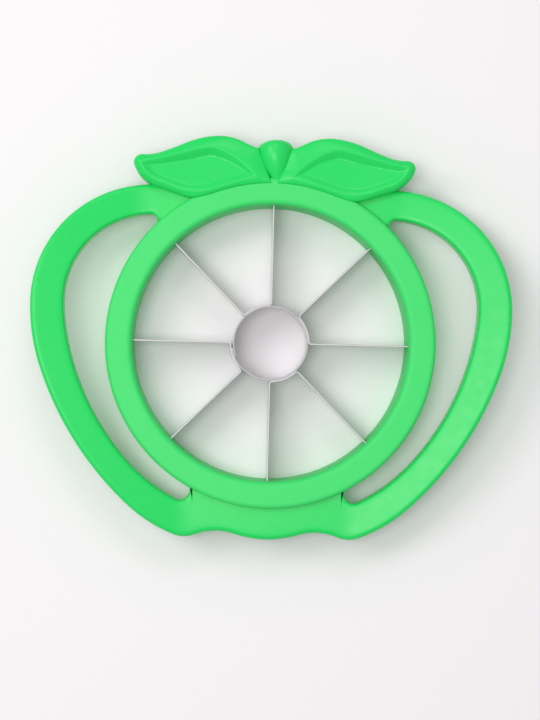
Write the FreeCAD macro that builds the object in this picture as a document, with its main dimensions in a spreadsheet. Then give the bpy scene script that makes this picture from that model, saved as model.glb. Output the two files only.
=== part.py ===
"""Hand apple slicer: a moulded apple-shaped frame, four bent blades, a core ring and a base ring.

Millimetres. The origin is on the axis of the core ring, in the plane that the base ring stands on.
+Z points up, away from the cutting edges. +Y points to the leaves and +X to the right-hand handle.
"""

import FreeCAD, Part
import itertools
import math
import os

import Sketcher
from FreeCAD import Placement, Rotation, Vector

os.makedirs("parts", exist_ok=True)
doc = FreeCAD.newDocument("apple_slicer")

# ---------------------------------------------------------------- driving dimensions
DIMENSIONS = {
    # ring of the frame
    "ring_inner_radius": 46.1,
    "ring_width": 9.1,
    "ring_height": 20.0,
    "ring_wall": 2.0,
    "ring_deck": 2.2,
    "ring_outer_round": 1.5,
    "ring_inner_round": 2.0,
    # base ring
    "base_height": 2.5,
    "base_chamfer": 0.8,
    "spigot_height": 4.0,
    "spigot_wall": 4.15,
    "spigot_clearance": 0.05,
    # blades
    "blade_thickness": 0.5,
    "blade_cover": 3.2,
    "edge_recess": 0.3,
    "edge_bevel_height": 0.7,
    "edge_bevel_depth": 0.2,
    "wrap_bend_radius": 0.6,
    "tab_bend_radius": 0.4,
    "tab_length": 5.0,
    "tab_gap": 0.15,
    "slot_clearance": 0.15,
    "notch_clearance": 0.2,
    # core ring
    "core_radius": 12.1,
    "seam_angle": 201.0,
    "lap_arc": 13.0,
    "joggle_arc": 20.0,
    "joggle_radius": 6.0,
    "lap_gap": 0.05,
    # handles and lobes
    "plate_step": 3.0,
    "plate_depth": 8.0,
    "plate_wall": 2.0,
    "wing_tilt": 10.0,
    "wing_bend_radius": 40.0,
    "fold_inset": 21.2,
    "fold_lean": 9.0,
    "cheek_gap": 24.8,
    "cheek_level": 12.0,
    "lobe_gap": 10.6,
    "grip_chamfer": 1.2,
    # loop openings
    "grip_width": 10.9,
    "loop_level": 12.8,
    "loop_end_radius": 3.3,
    "loop_chamfer": 0.8,
    # ribs under the handles
    "rib_thickness": 1.5,
    "rib_setback": 1.5,
    # leaves and stem
    "leaf_reach": 21.0,
    "leaf_rise": 1.2,
    "leaf_overlap": 1.6,
    "leaf_chamfer": 1.1,
    "field_depth": 1.6,
    "stem_overlap": 1.6,
    "stem_drop": 1.1,
    "stem_root_radius": 1.1,
    "stem_length": 13.6,
    "stem_radius": 6.1,
    "stem_round": 2.8,
    "stem_tilt": 16.0,
}
# Sizes that follow from the driving ones.
DERIVED = {
    "ring_outer_radius": "=ring_inner_radius + ring_width",
    "blade_top": "=ring_height - blade_cover",
    "plate_top": "=ring_height - plate_step",
    "fold_offset": "=ring_outer_radius - fold_inset",
    "loop_gap": "=cheek_gap - grip_width",
    "crown_bottom": "=plate_top - plate_depth",
    "leaf_top": "=ring_height + leaf_rise",
    "stem_root": "=ring_outer_radius - stem_overlap",
    "stem_root_height": "=ring_height - stem_drop",
}

sheet = doc.addObject("Spreadsheet::Sheet", "dims")
for row, (alias, value) in enumerate({**DIMENSIONS, **DERIVED}.items(), start=1):
    sheet.set("A%d" % row, alias)
    sheet.set("B%d" % row, str(value))
    sheet.setAlias("B%d" % row, alias)
doc.recompute()

WEDGES = 8
WEDGE = 360 / WEDGES
# Where each blade's first leg lies. Its second leg is one wedge further round.
BLADES = {
    "blade_upper_right": 0,
    "blade_upper_left": 90,
    "blade_lower_left": 180,
    "blade_lower_right": 270,
}
ROUND_STEPS = 2
RIB_ANGLES = (-74, -50, -28, -6, 16)
# Longer than anything here, for shapes that reach past the frame.
REACH = 120.0


# ---------------------------------------------------------------- sheet and plane geometry
def size(alias):
    """The value of a driving dimension, read from the sheet."""
    return float(sheet.get(alias))


def bind(obj, **expressions):
    """Ties properties of obj to expressions in the sheet. Two underscores stand for a dot."""
    for name, expression in expressions.items():
        obj.setExpression(name.replace("__", "."), expression)
    return obj


def polar(radius, degrees):
    """The point at that radius and angle about the origin."""
    angle = math.radians(degrees)
    return Vector(radius * math.cos(angle), radius * math.sin(angle), 0)


def bearing(point):
    """The angle of a point about the origin, in degrees."""
    return math.degrees(math.atan2(point.y, point.x))


def around(reach, points):
    """Points outside the ring's wall, from pairs of a bearing and a share of reach."""
    return [polar(size("ring_outer_radius") + size(reach) * share, angle) for angle, share in points]


def arc(centre, radius, start, end):
    """An arc about centre, from start to end in degrees."""
    points = [centre + polar(radius, angle) for angle in (start, (start + end) / 2, end)]
    return Part.Arc(*points).toShape()


def sweep(start, direction, points):
    """Arcs from start through the points, each tangent to the one before it.

    Returns the arcs and the direction in which the last one ends.
    """
    edges = []
    heading = Vector(*direction, 0).normalize()
    for end in points:
        chord = end - start
        half_turn = math.atan2(heading.cross(chord).z, heading.dot(chord))
        bulge = chord.cross(Vector(0, 0, 1)) * math.tan(half_turn / 2) / 2
        edges.append(Part.Arc(start, start + chord / 2 + bulge, end).toShape())
        heading = Rotation(Vector(0, 0, 1), math.degrees(2 * half_turn)).multVec(heading)
        start = end
    return edges, heading


def region(edges):
    """The flat face that the edges enclose."""
    return Part.Face(Part.Wire(Part.__sortEdges__(edges)))


def disc(radius):
    return Part.Face(Part.Wire(Part.makeCircle(radius)))


def mirrored(edge):
    """The edge's image on the other side of the plane of symmetry."""
    return edge.mirror(Vector(0, 0, 0), Vector(1, 0, 0))


def along(edge):
    """Three points inside an edge, clear of its ends."""
    first, last = edge.ParameterRange
    return [edge.valueAt(first + (last - first) * share) for share in (0.15, 0.5, 0.85)]


def stands_on(edge, face):
    """Whether the edge lies straight above the outline of a flat face at z = 0."""
    feet = [Part.Vertex(point.x, point.y, 0) for point in along(edge)]
    return all(face.OuterWire.distToShape(foot)[0] < 1e-3 for foot in feet)


# ---------------------------------------------------------------- features
def plan(name, shape):
    """Keeps a worked-out shape in the document, as the base of a feature."""
    feature = doc.addObject("Part::Feature", name)
    feature.Shape = shape
    return feature


def pulled(name, base, length, direction=Vector(0, 0, 1)):
    """A flat shape pulled along direction. length is an expression."""
    solid = doc.addObject("Part::Extrusion", name)
    solid.Base = base
    solid.DirMode = "Custom"
    solid.Dir = direction
    solid.Solid = True
    return bind(solid, LengthFwd=length)


def cut(name, base, tool):
    result = doc.addObject("Part::Cut", name)
    result.Base = base
    result.Tool = tool
    return result


def joined(kind, name, shapes):
    """A MultiFuse or a MultiCommon of the shapes."""
    result = doc.addObject("Part::" + kind, name)
    result.Shapes = shapes
    return result


def reflected(source):
    """The same feature on the left-hand side."""
    result = doc.addObject("Part::Mirroring", source.Name + "_left")
    result.Source = source
    result.Normal = Vector(1, 0, 0)
    return result


def chamfered(name, base, setback, wanted):
    """Takes the corner off the edges of base for which wanted(edge) holds."""
    doc.recompute()
    result = doc.addObject("Part::Chamfer", name)
    result.Base = base
    chosen = [i for i, edge in enumerate(base.Shape.Edges, start=1) if wanted(edge)]
    result.Edges = [(i, size(setback), size(setback)) for i in chosen]
    return result


def section(sketch, corners):
    """Draws a closed polygon whose corners are pairs of expressions.

    The first of a pair is the distance from the core axis and the second is the height.
    """
    places = [Vector(*(float(sheet.evalExpression(e)) for e in pair), 0) for pair in corners]
    for start, end in zip(places, places[1:] + places[:1]):
        sketch.addGeometry(Part.LineSegment(start, end))
    for side, pair in enumerate(corners):
        before = (side - 1) % len(corners)
        sketch.addConstraint(Sketcher.Constraint("Coincident", before, 2, side, 1))
        for kind, expression in zip(("DistanceX", "DistanceY"), pair):
            value = float(sheet.evalExpression(expression))
            index = sketch.addConstraint(Sketcher.Constraint(kind, side, 1, value))
            sketch.setExpression("Constraints[%d]" % index, expression)
    return sketch


def stepped_round(radius, away, height, start):
    """Corners along a quarter round that begins at the angle start.

    away and height place its centre, as expressions. radius is an alias.
    """
    corners = []
    for step in range(ROUND_STEPS + 1):
        angle = math.radians(start + 90 * step / ROUND_STEPS)
        out = "%s + dims.%s * %.6f" % (away, radius, math.cos(angle))
        up = "%s + dims.%s * %.6f" % (height, radius, math.sin(angle))
        corners.append((out, up))
    return corners


def turned(name, corners):
    """The polygon turned about the core axis."""
    sketch = doc.addObject("Sketcher::SketchObject", name + "_section")
    sketch.Placement.Rotation = Rotation(Vector(1, 0, 0), 90)
    solid = doc.addObject("Part::Revolution", name)
    solid.Source = section(sketch, corners)
    solid.Axis = Vector(0, 0, 1)
    solid.Solid = True
    return solid


# ---------------------------------------------------------------- apple_frame: handles and lobes
# The outline runs down the cheek and over the lobes to the middle of the bottom edge. At the
# top, a round shoulder goes in under the leaf. All of these points keep off the ring.
SHOULDER_TOP = (52.68, 0.421)
CHEEK = [(-7.09, 0.879), (-49.67, 0.678), (-64.29, 0.665)]
LOBES = [(-69.7, 1.291), (-80.44, 0.925), (-90, 1)]

cheek_start = Vector(size("ring_outer_radius") + size("cheek_gap"), size("cheek_level"), 0)
cheek, _ = sweep(cheek_start, (0, -1), around("cheek_gap", CHEEK) + around("lobe_gap", LOBES))
shoulder, _ = sweep(cheek_start, (0, 1), around("cheek_gap", [SHOULDER_TOP]))
shoulder_top = shoulder[-1].lastVertex(True).Point
right_side = cheek + shoulder
crossing = Part.makeLine(shoulder_top, Vector(-shoulder_top.x, shoulder_top.y, 0))
outline = region(right_side + [crossing] + [mirrored(edge) for edge in right_side])

# The loop for the hand: an arch, a flank and a small round end. Its inner side is the ring's
# wall, so its cut stops inside that wall.
ARCH_END = (46.96, 0.203)
FLANK = [(4.75, 0.981), (-39.7, 0.489), (-59.82, 0.423)]

wall_middle = size("ring_outer_radius") - size("ring_wall") / 2
arch_start = Vector(size("ring_outer_radius") + size("loop_gap"), size("loop_level"), 0)
arch, _ = sweep(arch_start, (0, 1), around("loop_gap", [ARCH_END]))
arch_end = arch[-1].lastVertex(True).Point
flank, flank_heading = sweep(arch_start, (0, -1), around("loop_gap", FLANK))
to_end_centre = flank_heading.cross(Vector(0, 0, 1)) * size("loop_end_radius")
end_centre = flank[-1].lastVertex(True).Point + to_end_centre
end_side = end_centre - Vector(size("loop_end_radius"), 0, 0)
low_wall = Vector(end_side.x, -math.sqrt(wall_middle**2 - end_side.x**2), 0)
high_wall = Vector(arch_end.x, math.sqrt(wall_middle**2 - arch_end.x**2), 0)
loop = region(
    [
        Part.makeLine(arch_end, high_wall),
        Part.Arc(high_wall, Vector(wall_middle, 0, 0), low_wall).toShape(),
        Part.makeLine(low_wall, end_side),
        arc(end_centre, size("loop_end_radius"), 180, 360 + bearing(-to_end_centre)),
    ]
    + arch
    + flank
)

right_half = Part.makePlane(REACH, 2 * REACH, Vector(0, -REACH, 0))
plate_plan = outline.common(right_half).cut([loop, disc(wall_middle)])
hollow_plan = outline.makeOffset2D(-size("plate_wall")).common(right_half)
hollow_plan = hollow_plan.cut([loop.makeOffset2D(size("plate_wall")), disc(size("ring_outer_radius"))])


def wing_line(drop):
    """The line that a handle's top follows, lowered by drop, in the XZ plane.

    It is level up to the fold at x = 0, bends up over a round and goes on at the handle's tilt.
    """
    tilt = math.radians(size("wing_tilt"))
    bend = size("wing_bend_radius")
    level = size("plate_top") - drop
    fold = [
        Vector(bend * math.sin(angle), 0, level + bend * (1 - math.cos(angle)))
        for angle in (0, tilt / 2, tilt)
    ]
    inner = Vector(-REACH, 0, level)
    outer = fold[2] + Vector(REACH, 0, REACH * math.tan(tilt))
    edges = [Part.makeLine(inner, fold[0]), Part.Arc(*fold).toShape(), Part.makeLine(fold[2], outer)]
    return inner, outer, edges


def wing(name, lowest, highest):
    """The slab between two copies of the handle's top, lowered by lowest and by highest.

    It runs the length of the frame along the fold, which leans outwards to the leaves.
    """
    low_inner, low_outer, low_edges = wing_line(lowest)
    high_inner, high_outer, high_edges = wing_line(highest)
    ends = [Part.makeLine(low_inner, high_inner), Part.makeLine(low_outer, high_outer)]
    profile = plan(name + "_section", region(low_edges + high_edges + ends))
    lean = Rotation(Vector(0, 0, 1), -size("fold_lean"))
    fold = lean.multVec(Vector(0, 1, 0))
    profile.Placement = Placement(Vector(size("fold_offset"), 0, 0) - fold * REACH, lean)
    return pulled(name, profile, str(2 * REACH), fold)


def on_top(edge):
    """Whether a level edge belongs to the handle's upper face, not to the foot of its skirt."""
    lean = math.radians(size("fold_lean"))
    start, middle, end = along(edge)
    past_fold = (middle.x - size("fold_offset")) * math.cos(lean) - middle.y * math.sin(lean)
    skirt_middle = size("plate_top") - size("plate_depth") / 2
    skirt_middle += max(0.0, past_fold) * math.tan(math.radians(size("wing_tilt")))
    level = math.hypot(start.x - end.x, start.y - end.y) > 0.01
    return level and middle.z > skirt_middle


def is_grip_edge(edge):
    return on_top(edge) and stands_on(edge, outline)


def is_loop_edge(edge):
    clear_of_ring = all(math.hypot(p.x, p.y) > size("ring_outer_radius") for p in along(edge))
    return on_top(edge) and clear_of_ring and stands_on(edge, loop)


plate_blank = pulled("plate_blank", plan("plate_plan", plate_plan), "dims.plate_top * 2")
plate_shape = joined("MultiCommon", "plate_shape", [plate_blank, wing("plate_skin", size("plate_depth"), 0)])
plate_grip = chamfered("plate_grip", plate_shape, "grip_chamfer", is_grip_edge)
plate = chamfered("plate", plate_grip, "loop_chamfer", is_loop_edge)

# Underneath, the handles and lobes are hollow and open downwards, with cross ribs.
rib_planes = []
for angle in RIB_ANGLES:
    rib = doc.addObject("Part::Box", "rib_plane")
    bind(rib, Length=str(REACH), Width="dims.rib_thickness", Height="dims.plate_top * 2")
    turn = Rotation(Vector(0, 0, 1), angle)
    rib.Placement = Placement(turn.multVec(Vector(0, -size("rib_thickness") / 2, 0)), turn)
    rib_planes.append(rib)
rib_skin = wing("rib_skin", size("plate_depth") - size("rib_setback"), 0)
ribs = joined("MultiCommon", "ribs", [joined("MultiFuse", "rib_planes", rib_planes), rib_skin])
hollow_blank = pulled("hollow_blank", plan("hollow_plan", hollow_plan), "dims.plate_top * 2")
hollow_skin = wing("hollow_skin", 2 * size("plate_depth"), size("plate_wall"))
hollow_room = joined("MultiCommon", "hollow_room", [hollow_blank, hollow_skin])
hollow = cut("hollow", hollow_room, ribs)

# ---------------------------------------------------------------- apple_frame: ring
CHANNEL_INNER = "dims.ring_inner_radius + dims.ring_wall"
CHANNEL_OUTER = "dims.ring_outer_radius - dims.ring_wall"

ring = turned(
    "ring",
    [
        ("dims.ring_inner_radius", "dims.base_height"),
        ("dims.ring_outer_radius", "dims.base_height"),
    ]
    + stepped_round(
        "ring_outer_round",
        "dims.ring_outer_radius - dims.ring_outer_round",
        "dims.ring_height - dims.ring_outer_round",
        0,
    )
    + stepped_round(
        "ring_inner_round",
        "dims.ring_inner_radius + dims.ring_inner_round",
        "dims.ring_height - dims.ring_inner_round",
        90,
    ),
)

# The channel takes the blades' tabs and the base ring's spigot. The slots let the blades in.
channel = turned(
    "channel",
    [
        (CHANNEL_INNER, "0"),
        (CHANNEL_OUTER, "0"),
        (CHANNEL_OUTER, "dims.ring_height - dims.ring_deck"),
        (CHANNEL_INNER, "dims.ring_height - dims.ring_deck"),
    ],
)
slots = []
for pair in range(WEDGES // 2):
    slot = doc.addObject("Part::Box", "slot_pair")
    bind(
        slot,
        Length="2 * (%s) + dims.ring_wall" % CHANNEL_INNER,
        Width="dims.blade_thickness + 2 * dims.slot_clearance",
        Height="dims.blade_top",
    )
    doc.recompute()
    turn = Rotation(Vector(0, 0, 1), pair * WEDGE)
    corner = Vector(-slot.Length.Value / 2, -slot.Width.Value / 2, 0)
    slot.Placement = Placement(turn.multVec(corner), turn)
    slots.append(slot)

# ---------------------------------------------------------------- apple_frame: leaves
# A leaf's outline: along inside the ring's edge, out along the lower edge to the tip, back along
# the upper edge, and in beside the stem. Its field is a shallow hollow in its top.
LEAF_ROOT_ANGLE = 89.15
LEAF_TOUCH_ANGLE = 61.33
LEAF_LOWER = [(57.1, 0.133), (53.04, 0.405), (50.85, 0.705)]
LEAF_TIP = [(51.33, 0.946), (52.8, 1.018), (54.59, 0.988)]
LEAF_UPPER = [(58.82, 0.867), (65.56, 0.824), (73.77, 0.779), (81.46, 0.578), (85.15, 0.468)]
FIELD_ROOT = (83.8, 0.015)
FIELD_TIP = (52.98, 0.914)
FIELD_LOWER = [(76.29, -0.016), (68.61, -0.018), (61.61, 0.075), (57.12, 0.266), (53.99, 0.497)]
FIELD_UPPER = [(79.55, 0.286), (73.78, 0.56), (70.01, 0.645), (64.35, 0.694)]

leaf_circle = size("ring_outer_radius") - size("leaf_overlap")
leaf_root = polar(leaf_circle, LEAF_ROOT_ANGLE)
leaf_touch = polar(leaf_circle, LEAF_TOUCH_ANGLE)
edge_points = around("leaf_reach", LEAF_LOWER + LEAF_TIP + LEAF_UPPER)
leaf_edge, _ = sweep(leaf_touch, (1, 0.2), edge_points)
leaf_outline = region(
    [arc(Vector(), leaf_circle, LEAF_TOUCH_ANGLE, LEAF_ROOT_ANGLE)]
    + leaf_edge
    + [Part.makeLine(edge_points[-1], leaf_root)]
)
field_root = around("leaf_reach", [FIELD_ROOT])[0]
field_lower, _ = sweep(field_root, (1, -0.22), around("leaf_reach", FIELD_LOWER + [FIELD_TIP]))
field_upper, _ = sweep(field_root, (0.62, 0.78), around("leaf_reach", FIELD_UPPER + [FIELD_TIP]))
field_edge = region(field_lower + field_upper).OuterWire


def field_level(name, above):
    """The field's outline that far above the leaf's top. Its walls slope at 45 degrees."""
    box = field_edge.BoundBox
    level = field_edge.scaled(1 + 2 * above / box.YLength, box.Center)
    level.translate(Vector(0, 0, size("leaf_top") + above))
    return plan(name, level)


def is_leaf_rim(edge):
    return all(abs(point.z - size("leaf_top")) < 1e-6 for point in along(edge))


leaf_pad = pulled("leaf_pad", plan("leaf_plan", leaf_outline), "dims.leaf_top - dims.crown_bottom")
bind(leaf_pad, Placement__Base__z="dims.crown_bottom")
leaf_rim = chamfered("leaf_rim", leaf_pad, "leaf_chamfer", is_leaf_rim)
field = doc.addObject("Part::Loft", "field")
field.Sections = [
    field_level("field_mouth", size("field_depth") / 2),
    field_level("field_floor", -size("field_depth")),
]
field.Ruled = True
field.Solid = True
leaf = cut("leaf", leaf_rim, field)

leaf_hollow_plan = leaf_outline.makeOffset2D(-size("plate_wall")).cut(disc(size("ring_outer_radius")))
leaf_hollow = pulled(
    "leaf_hollow",
    plan("leaf_hollow_plan", leaf_hollow_plan),
    "dims.leaf_top - dims.field_depth - dims.plate_wall",
)

# ---------------------------------------------------------------- apple_frame: stem
# A cone with a rounded end. Its axis dips away from the ring.
stem_end = size("stem_length")
corner_centre = Vector(size("stem_radius") - size("stem_round"), stem_end - size("stem_round"), 0)
flare_angle = math.degrees(math.atan2(size("stem_radius") - size("stem_root_radius"), corner_centre.y))
corner_angles = [
    -flare_angle + (90 + flare_angle) * step / ROUND_STEPS for step in range(ROUND_STEPS + 1)
]
stem_corners = (
    [Vector(), Vector(size("stem_root_radius"), 0, 0)]
    + [corner_centre + polar(size("stem_round"), angle) for angle in corner_angles]
    + [Vector(0, stem_end, 0)]
)
stem = doc.addObject("Part::Revolution", "stem")
stem.Source = plan("stem_profile", Part.Face(Part.makePolygon(stem_corners + stem_corners[:1])))
stem.Axis = Vector(0, 1, 0)
stem.Solid = True
stem.Placement.Rotation = Rotation(Vector(1, 0, 0), -size("stem_tilt"))
bind(stem, Placement__Base__y="dims.stem_root", Placement__Base__z="dims.stem_root_height")

# ---------------------------------------------------------------- apple_frame: one moulding
solids = [plate, reflected(plate), leaf, reflected(leaf), stem, ring]
moulding = joined("MultiFuse", "moulding", solids)
hollows = [hollow, reflected(hollow), leaf_hollow, reflected(leaf_hollow)]
relieved = cut("relieved", moulding, joined("MultiFuse", "hollows", hollows))
apple_frame = cut("apple_frame", relieved, joined("MultiFuse", "blade_room", [channel] + slots))
apple_frame.Refine = True


# ---------------------------------------------------------------- bodies
def new_body(name):
    """A body with the piece's name."""
    body = doc.addObject("PartDesign::Body", name)
    body.Label = name
    return body


def new_sketch(body, name, role):
    """An empty sketch on one of the body's own planes."""
    sketch = body.newObject("Sketcher::SketchObject", name)
    support = next(plane for plane in body.Origin.OriginFeatures if plane.Role == role)
    sketch.AttachmentSupport = (support, [""])
    sketch.MapMode = "FlatFace"
    doc.recompute()
    return sketch


def turned_feature(body, kind, name, corners):
    """A Revolution or a Groove about the core axis."""
    sketch = section(new_sketch(body, name + "_section", "XZ_Plane"), corners)
    feature = body.newObject("PartDesign::" + kind, name)
    feature.Profile = sketch
    feature.ReferenceAxis = (sketch, ["V_Axis"])
    doc.recompute()
    return feature


# ---------------------------------------------------------------- base_ring
# Its flange closes the frame's channel, and its spigot presses into the channel's outer wall.
SPIGOT_OUTER = CHANNEL_OUTER + " - dims.spigot_clearance"
SPIGOT_INNER = SPIGOT_OUTER + " - dims.spigot_wall"
SPIGOT_TOP = "dims.base_height + dims.spigot_height"

base_ring = new_body("base_ring")
turned_feature(
    base_ring,
    "Revolution",
    "flange_and_spigot",
    [
        ("dims.ring_inner_radius", "0"),
        ("dims.ring_outer_radius - dims.base_chamfer", "0"),
        ("dims.ring_outer_radius", "dims.base_chamfer"),
        ("dims.ring_outer_radius", "dims.base_height"),
        (SPIGOT_OUTER, "dims.base_height"),
        (SPIGOT_OUTER, SPIGOT_TOP),
        (SPIGOT_INNER, SPIGOT_TOP),
        (SPIGOT_INNER, "dims.base_height"),
        ("dims.ring_inner_radius", "dims.base_height"),
    ],
)


# ---------------------------------------------------------------- bent steel strip
# A strip is drawn along its middle line, which is a list of bends and legs.
def bend(centre, radius, start, end):
    """An arc of a middle line, in degrees. It runs clockwise where end is less than start."""
    return {"centre": centre, "radius": radius, "start": start, "end": end}


def leg(start, end):
    """A straight of a middle line."""
    return {"from": start, "to": end}


def side_of(piece, offset):
    """One side of the strip along a bend or a leg, offset to the left of its middle line."""
    if "radius" in piece:
        clockwise = piece["end"] < piece["start"]
        radius = piece["radius"] + (offset if clockwise else -offset)
        angles = sorted(math.radians(piece[end]) for end in ("start", "end"))
        return Part.ArcOfCircle(Part.Circle(piece["centre"], Vector(0, 0, 1), radius), *angles)
    line = (piece["to"] - piece["from"]).normalize()
    shift = Vector(-line.y, line.x, 0) * offset
    return Part.LineSegment(piece["from"] + shift, piece["to"] + shift)


def end_of(piece, end, thickness):
    """The short line across the strip at the start or the end of a bend."""
    sides = [piece["radius"] - thickness / 2, piece["radius"] + thickness / 2]
    return Part.LineSegment(*(piece["centre"] + polar(radius, piece[end]) for radius in sides))


def draw_strip(sketch, path):
    """Draws the closed outline of a strip and ties its elements together where they meet."""
    thickness = size("blade_thickness")
    sketch.addGeometry([side_of(piece, thickness / 2) for piece in path])
    sketch.addGeometry([side_of(piece, -thickness / 2) for piece in path])
    sketch.addGeometry([end_of(path[0], "start", thickness), end_of(path[-1], "end", thickness)])
    ends = [(element, side) for element in range(sketch.GeometryCount) for side in (1, 2)]
    for first, second in itertools.combinations(ends, 2):
        if sketch.getPoint(*first).isEqual(sketch.getPoint(*second), 1e-6):
            sketch.addConstraint(Sketcher.Constraint("Coincident", *first, *second))


def sharpened_strip(body, path):
    """A strip standing on edge. Its lower edge is ground to a bevel on both sides."""
    bevel_top = "dims.edge_recess + dims.edge_bevel_height"
    sketch = new_sketch(body, "strip_outline", "XY_Plane")
    draw_strip(sketch, path)
    sketch.setExpression("AttachmentOffset.Base.z", bevel_top)
    edge = body.newObject("PartDesign::Pad", "ground_edge")
    edge.Profile = sketch
    edge.Reversed = True
    bind(
        edge,
        Length="dims.edge_bevel_height",
        TaperAngle="-atan(dims.edge_bevel_depth / dims.edge_bevel_height)",
    )
    doc.recompute()
    upright = body.newObject("PartDesign::Pad", "upright")
    upright.Profile = sketch
    bind(upright, Length="dims.blade_top - (%s)" % bevel_top)
    doc.recompute()


# ---------------------------------------------------------------- core_ring
CORE = Vector()
core_outer = size("core_radius") + size("blade_thickness")
lap_outer = core_outer + size("lap_gap") + size("blade_thickness")


def core_path():
    """Middle line of the core ring, from the outer end of its lap round to its inner end.

    The lap lies outside the strip's other end. A joggle then takes the strip in to the ring's
    own radius, by one bend inwards and one back that is tangent to the ring.
    """
    inner = core_outer - size("blade_thickness") / 2
    outer = lap_outer - size("blade_thickness") / 2
    joggle_start = size("seam_angle") + size("lap_arc")
    joggle_end = joggle_start + size("joggle_arc")
    out = outer - size("joggle_radius")
    short = inner - size("joggle_radius")
    back = (out**2 - short**2) / (2 * (out * math.cos(math.radians(size("joggle_arc"))) - short))
    bend_in = polar(out, joggle_start)
    bend_back = polar(back, joggle_end)
    link = bearing(bend_back - bend_in) % 360
    return [
        bend(CORE, outer, size("seam_angle") - size("lap_arc"), joggle_start),
        bend(bend_in, size("joggle_radius"), joggle_start, link),
        bend(bend_back, back - inner, link + 180, joggle_end + 180),
        bend(CORE, inner, joggle_end, size("seam_angle") + 360),
    ]


core_ring = new_body("core_ring")
sharpened_strip(core_ring, core_path())


# ---------------------------------------------------------------- blades
def opposite(piece):
    """A piece of the blade's middle line on the other side of its wedge, run the other way."""
    def image(point):
        return polar(point.Length, WEDGE - bearing(point))

    if "radius" in piece:
        return bend(image(piece["centre"]), piece["radius"], WEDGE - piece["end"], WEDGE - piece["start"])
    return leg(image(piece["to"]), image(piece["from"]))


def blade_path(wrap_radius):
    """Middle line of a blade whose legs lie along the two sides of the first wedge.

    It runs from the tab behind the ring's inner wall, in along a leg, round its share of the
    core ring, and out along the other leg to the other tab.
    """
    half = size("blade_thickness") / 2
    wrap_bend = size("wrap_bend_radius") + half
    tab_bend = size("tab_bend_radius") + half
    tab_radius = size("ring_inner_radius") + size("ring_wall") + size("tab_gap") + half
    wrap_centre = Vector(math.sqrt((wrap_radius + wrap_bend) ** 2 - wrap_bend**2), wrap_bend, 0)
    tab_centre = Vector(math.sqrt((tab_radius - tab_bend) ** 2 - tab_bend**2), tab_bend, 0)
    wrap_start = bearing(wrap_centre)
    tab_start = bearing(tab_centre)
    tab_end = tab_start + math.degrees(size("tab_length") / tab_radius)
    way_in = [
        bend(CORE, tab_radius, tab_end, tab_start),
        bend(tab_centre, tab_bend, tab_start, -90),
        leg(Vector(tab_centre.x, 0, 0), Vector(wrap_centre.x, 0, 0)),
        bend(wrap_centre, wrap_bend, -90, wrap_start - 180),
    ]
    wrap = [bend(CORE, wrap_radius, wrap_start, WEDGE - wrap_start)]
    return way_in + wrap + [opposite(piece) for piece in reversed(way_in)]


blades = []
notch_start = "dims.ring_inner_radius - dims.notch_clearance"
for name, angle in BLADES.items():
    blade = new_body(name)
    over_lap = angle <= size("seam_angle") < angle + WEDGE
    wrap_inner = lap_outer if over_lap else core_outer
    sharpened_strip(blade, blade_path(wrap_inner + size("blade_thickness") / 2))
    # The notch lets the leg stand on the base ring.
    turned_feature(
        blade,
        "Groove",
        "base_ring_notch",
        [
            (notch_start, "0"),
            ("dims.ring_outer_radius", "0"),
            ("dims.ring_outer_radius", "dims.base_height"),
            (notch_start, "dims.base_height"),
        ],
    )
    blade.Placement.Rotation = Rotation(Vector(0, 0, 1), angle)
    blades.append(blade)

# ---------------------------------------------------------------- checks and files
doc.recompute()
for feature in doc.Objects:
    if "Invalid" in feature.State or "Error" in feature.State:
        raise RuntimeError("%s: %s" % (feature.Name, feature.State))

for node in [apple_frame, base_ring, core_ring] + blades:
    if node.Shape.isNull() or not node.Shape.isValid() or len(node.Shape.Solids) != 1:
        raise RuntimeError("%s is not one valid solid" % node.Label)
    node.Shape.exportStep("parts/%s.step" % node.Label)
    print(node.Label, round(node.Shape.Volume, 1), node.Shape.BoundBox)
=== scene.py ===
import bmesh
import bpy
import numpy as np
from mathutils import Matrix, Vector


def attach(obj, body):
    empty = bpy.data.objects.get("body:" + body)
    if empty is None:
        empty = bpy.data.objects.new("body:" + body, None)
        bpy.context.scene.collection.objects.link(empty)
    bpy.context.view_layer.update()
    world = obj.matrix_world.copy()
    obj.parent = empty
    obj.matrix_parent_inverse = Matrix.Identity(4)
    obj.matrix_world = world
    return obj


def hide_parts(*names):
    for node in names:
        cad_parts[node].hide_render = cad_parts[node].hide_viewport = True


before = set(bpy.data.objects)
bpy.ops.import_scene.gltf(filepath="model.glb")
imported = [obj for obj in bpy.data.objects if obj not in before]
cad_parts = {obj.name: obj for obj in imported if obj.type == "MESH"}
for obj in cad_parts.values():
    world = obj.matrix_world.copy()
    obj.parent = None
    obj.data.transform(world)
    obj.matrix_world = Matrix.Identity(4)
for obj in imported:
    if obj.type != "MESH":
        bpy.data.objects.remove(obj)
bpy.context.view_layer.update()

# All sizes of the slicer are in millimetres until a mesh is made. The frame has its origin on the
# core ring's axis, in the plane that the base ring stands on, with +Z up and +Y towards the leaves.
MM = 0.001

# ---------------------------------------------------------------- ring wall of the moulding
# The apple's round body: a ring of green polypropylene, hollow from below, moulded in one shot
# with the handles, leaves and stem. Its top is flat with rounded edges, and narrow slots through
# its inner wall let the blades in.
RING_OUTER, RING_INNER, RING_TOP, RING_FOOT, HANDLE_FOOT = 55.2, 46.1, 20.0, 2.5, 9.0
CHANNEL_INNER, CHANNEL_OUTER, CHANNEL_TOP = 48.1, 53.2, 17.8
RING_OUTER_ROUND, RING_INNER_ROUND, SEAM_ROUND = 1.5, 2.0, 0.3
SLOT_HALF, SLOT_TOP = 0.4, 16.8
WEDGES = 8


def rounding(centre, radius, start, end, steps):
    """Points of an arc: centre + radius (cos a, sin a), for even steps of a in degrees."""
    angle = np.radians(np.linspace(start, end, steps + 1))
    return np.array(centre) + radius * np.stack([np.cos(angle), np.sin(angle)], axis=1)


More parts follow.
